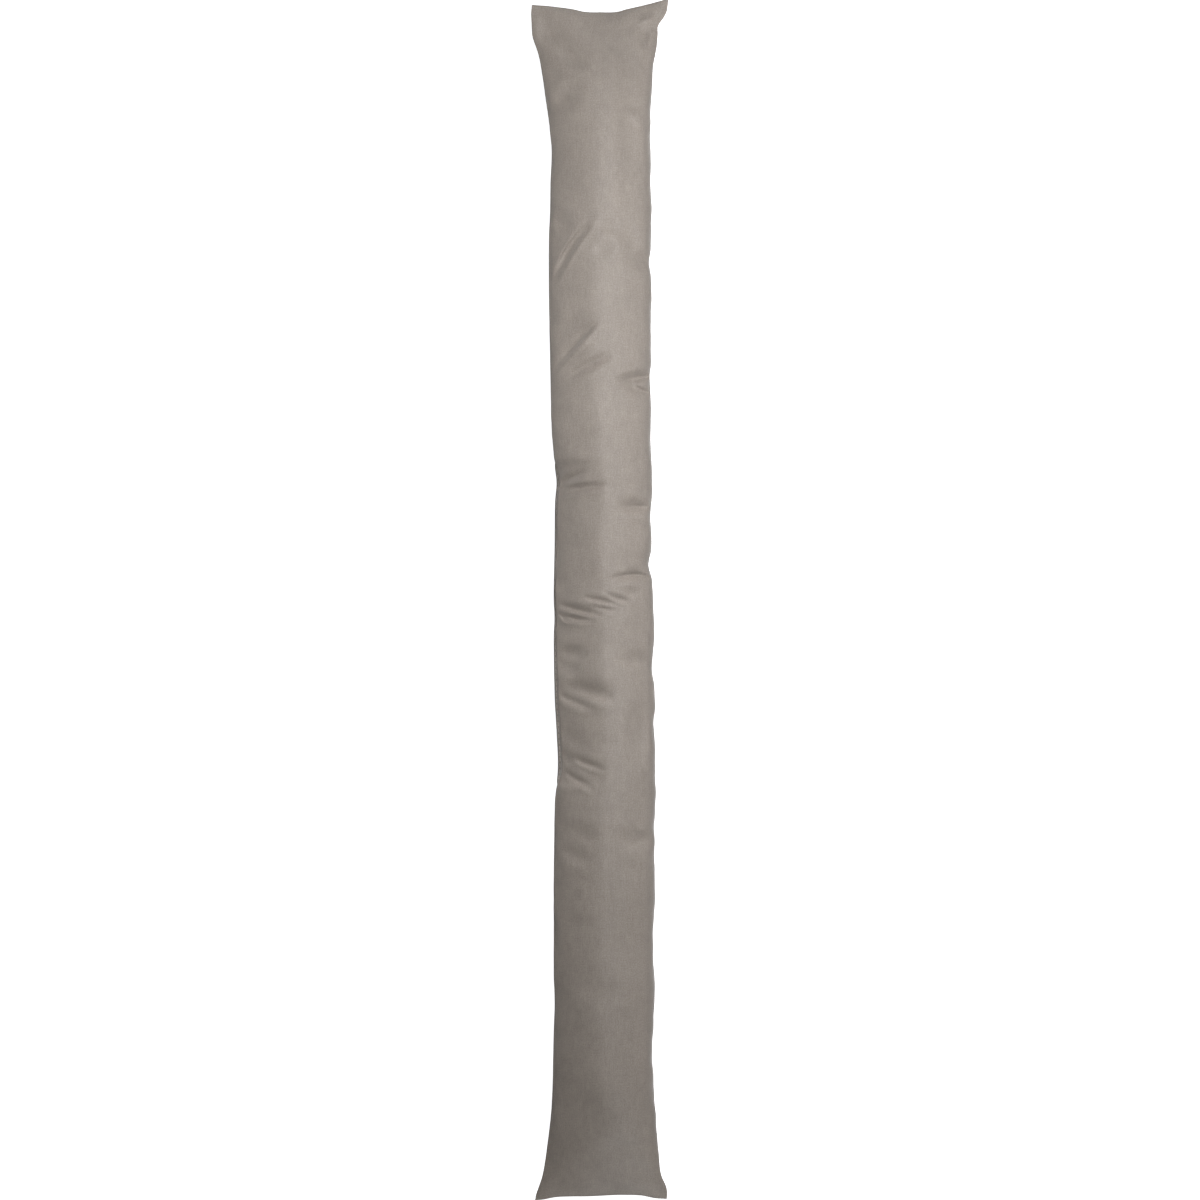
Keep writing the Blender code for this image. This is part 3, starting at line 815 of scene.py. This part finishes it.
def thread_height(tree, along, around):
    """Height of a plain weave: at each crossing one thread is on top and the other one below it."""
    warp = calculate(tree, "SINE", calculate(tree, "MULTIPLY", around, math.pi / THREAD_PITCH))
    weft = calculate(tree, "SINE", calculate(tree, "MULTIPLY", along, math.pi / THREAD_PITCH))
    which = calculate(tree, "GREATER_THAN", calculate(tree, "MULTIPLY", warp, weft), 0.0)
    warp = calculate(tree, "ABSOLUTE", warp)
    weft = calculate(tree, "ABSOLUTE", weft)
    warp_up = calculate(tree, "MULTIPLY", warp, calculate(tree, "POWER", weft, THREAD_ROUNDNESS))
    weft_up = calculate(tree, "MULTIPLY", weft, calculate(tree, "POWER", warp, THREAD_ROUNDNESS))
    mixed = tree.nodes.new("ShaderNodeMix")
    tree.links.new(which, mixed.inputs["Factor"])
    tree.links.new(weft_up, mixed.inputs["A"])
    tree.links.new(warp_up, mixed.inputs["B"])
    return mixed.outputs["Result"]


def streaks(tree, cloth, stretch, detail):
    """Unevenness of the cloth: noise from 0 to 1, stretched along or around it."""
    mapping = tree.nodes.new("ShaderNodeMapping")
    mapping.inputs["Scale"].default_value = stretch
    tree.links.new(cloth, mapping.inputs["Vector"])
    noise = tree.nodes.new("ShaderNodeTexNoise")
    noise.inputs["Scale"].default_value = 1.0
    noise.inputs["Detail"].default_value = detail
    tree.links.new(mapping.outputs["Vector"], noise.inputs["Vector"])
    return noise.outputs["Fac"]


def make_fabric():
    """Taupe-grey plain weave with a soft satin sheen."""
    material, tree, shader = new_material("woven_taupe", FABRIC_COLOUR, FABRIC_ROUGHNESS)
    shader.inputs["Sheen Weight"].default_value = SHEEN
    shader.inputs["Sheen Roughness"].default_value = SHEEN_ROUGHNESS
    shader.inputs["Specular IOR Level"].default_value = FABRIC_SPECULAR
    cloth = tree.nodes.new("ShaderNodeUVMap")
    cloth.uv_map = "cloth"
    split = tree.nodes.new("ShaderNodeSeparateXYZ")
    tree.links.new(cloth.outputs["UV"], split.inputs["Vector"])
    height = thread_height(tree, split.outputs["X"], split.outputs["Y"])
    # The weave's low places are painted darker: painted shade.
    shade = calculate(tree, "MULTIPLY_ADD", height, THREAD_SHADE)
    shade.node.inputs[2].default_value = 1.0 - MEAN_HEIGHT * THREAD_SHADE
    for stretch, detail, strength in UNEVEN_SHADES:
        pattern = streaks(tree, cloth.outputs["UV"], stretch, detail)
        part = calculate(tree, "MULTIPLY_ADD", pattern, strength)
        part.node.inputs[2].default_value = 1.0 - 0.5 * strength
        shade = calculate(tree, "MULTIPLY", shade, part)
    tint = tree.nodes.new("ShaderNodeVectorMath")
    tint.operation = "SCALE"
    tint.inputs[0].default_value = FABRIC_COLOUR
    tree.links.new(shade, tint.inputs["Scale"])
    tree.links.new(tint.outputs[0], shader.inputs["Base Color"])
    bump = tree.nodes.new("ShaderNodeBump")
    bump.inputs["Strength"].default_value = WEAVE_STRENGTH
    bump.inputs["Distance"].default_value = WEAVE_DEPTH
    tree.links.new(height, bump.inputs["Height"])
    tree.links.new(bump.outputs["Normal"], shader.inputs["Normal"])
    return material


def make_thread():
    """Sewing thread in the cloth's tone, painted much lighter than the cloth as a highlight where the
    stitches catch the light, and twisted from finer plies.
    """
    material, tree, shader = new_material("sewing_thread_painted_highlight", THREAD_AND_HIGHLIGHT_COLOUR, THREAD_ROUGHNESS)
    place = tree.nodes.new("ShaderNodeTexCoord")
    wave = tree.nodes.new("ShaderNodeTexWave")
    wave.bands_direction = "DIAGONAL"
    wave.inputs["Scale"].default_value = PLY_SCALE
    tree.links.new(place.outputs["Object"], wave.inputs["Vector"])
    bump = tree.nodes.new("ShaderNodeBump")
    bump.inputs["Strength"].default_value = PLY_STRENGTH
    bump.inputs["Distance"].default_value = PLY_DEPTH
    tree.links.new(wave.outputs["Fac"], bump.inputs["Height"])
    tree.links.new(bump.outputs["Normal"], shader.inputs["Normal"])
    # The grooves between the plies are painted darker: painted shade.
    ramp = tree.nodes.new("ShaderNodeValToRGB")
    ramp.color_ramp.elements[0].color = (*[PLY_SHADE * value for value in THREAD_AND_HIGHLIGHT_COLOUR], 1.0)
    ramp.color_ramp.elements[1].color = (*THREAD_AND_HIGHLIGHT_COLOUR, 1.0)
    tree.links.new(wave.outputs["Fac"], ramp.inputs["Fac"])
    tree.links.new(ramp.outputs["Color"], shader.inputs["Base Color"])
    return material


def make_floor():
    """A plain pale floor under the whole view."""
    data = bpy.data.meshes.new("floor")
    half = FLOOR_HALF
    corners = [(-half, -half, 0.0), (half, -half, 0.0), (half, half, 0.0), (-half, half, 0.0)]
    data.from_pydata(corners, [], [(0, 1, 2, 3)])
    floor = bpy.data.objects.new("floor", data)
    floor.location.z = -FLOOR_GAP
    floor.visible_diffuse = floor.visible_glossy = False
    bpy.context.scene.collection.objects.link(floor)
    material, _, shader = new_material("pale_floor", FLOOR_COLOUR, FLOOR_ROUGHNESS)
    shader.inputs["Emission Color"].default_value = (1.0, 1.0, 1.0, 1.0)
    shader.inputs["Emission Strength"].default_value = FLOOR_GLOW
    data.materials.append(material)


def add_softbox(name, place, aim, size, power):
    """A soft rectangular light that points at a place."""
    data = bpy.data.lights.new(name, "AREA")
    data.shape = "RECTANGLE"
    data.size, data.size_y = size
    data.energy = power
    light = bpy.data.objects.new(name, data)
    light.location = place
    light.rotation_euler = (Vector(aim) - Vector(place)).to_track_quat("-Z", "Y").to_euler()
    bpy.context.scene.collection.objects.link(light)


def light_scene():
    """Studio light: softboxes round the tube, and a surround that is brightest at the horizon."""
    for softbox in SOFTBOXES:
        add_softbox(*softbox)
    world = bpy.data.worlds.new("studio")
    world.use_nodes = True
    tree = world.node_tree
    background = tree.nodes["Background"]
    place = tree.nodes.new("ShaderNodeTexCoord")
    split = tree.nodes.new("ShaderNodeSeparateXYZ")
    tree.links.new(place.outputs["Generated"], split.inputs["Vector"])
    ramp = tree.nodes.new("ShaderNodeValToRGB")
    stops = ramp.color_ramp.elements
    for number, (height, brightness) in enumerate(SURROUND):
        stop = stops[number] if number < len(stops) else stops.new(1.0)
        stop.position = 0.5 * (height + 1.0)
        stop.color = (*[brightness * tint for tint in SURROUND_TINT], 1.0)
    height = calculate(tree, "MULTIPLY_ADD", split.outputs["Z"], 0.5)
    height.node.inputs[2].default_value = 0.5
    tree.links.new(height, ramp.inputs["Fac"])
    tree.links.new(ramp.outputs["Color"], background.inputs["Color"])
    bpy.context.scene.world = world


def add_camera():
    """Straight above the tube, with its +X end at the top of the picture."""
    data = bpy.data.cameras.new("camera")
    data.lens, data.sensor_width = LENS_LENGTH, SENSOR_WIDTH
    camera = bpy.data.objects.new("camera", data)
    camera.location = (0.0, 0.0, CAMERA_HEIGHT)
    camera.rotation_euler = (0.0, 0.0, math.radians(-90.0))
    bpy.context.scene.collection.objects.link(camera)
    bpy.context.scene.camera = camera


def main():
    scene = bpy.context.scene
    scene.view_settings.view_transform = "Standard"
    grid, places = make_grid()
    push = fold_relief(grid[:, :, 0], grid[:, :, 1], COARSEST_FOLD) * topness(grid.shape[1])
    grid = grid - push[:, :, None] * fold_direction(grid)
    grid = swell(grid)
    grid, places = finish_grid(grid, places)
    cover = build_cover(grid, places)
    cover.data.materials.append(make_fabric())
    stitches = build_stitches(grid, places)
    stitches.data.materials.append(make_thread())
    for piece in (cover, stitches):
        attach(piece, "root")
    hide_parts("cover")
    make_floor()
    light_scene()
    add_camera()


main()
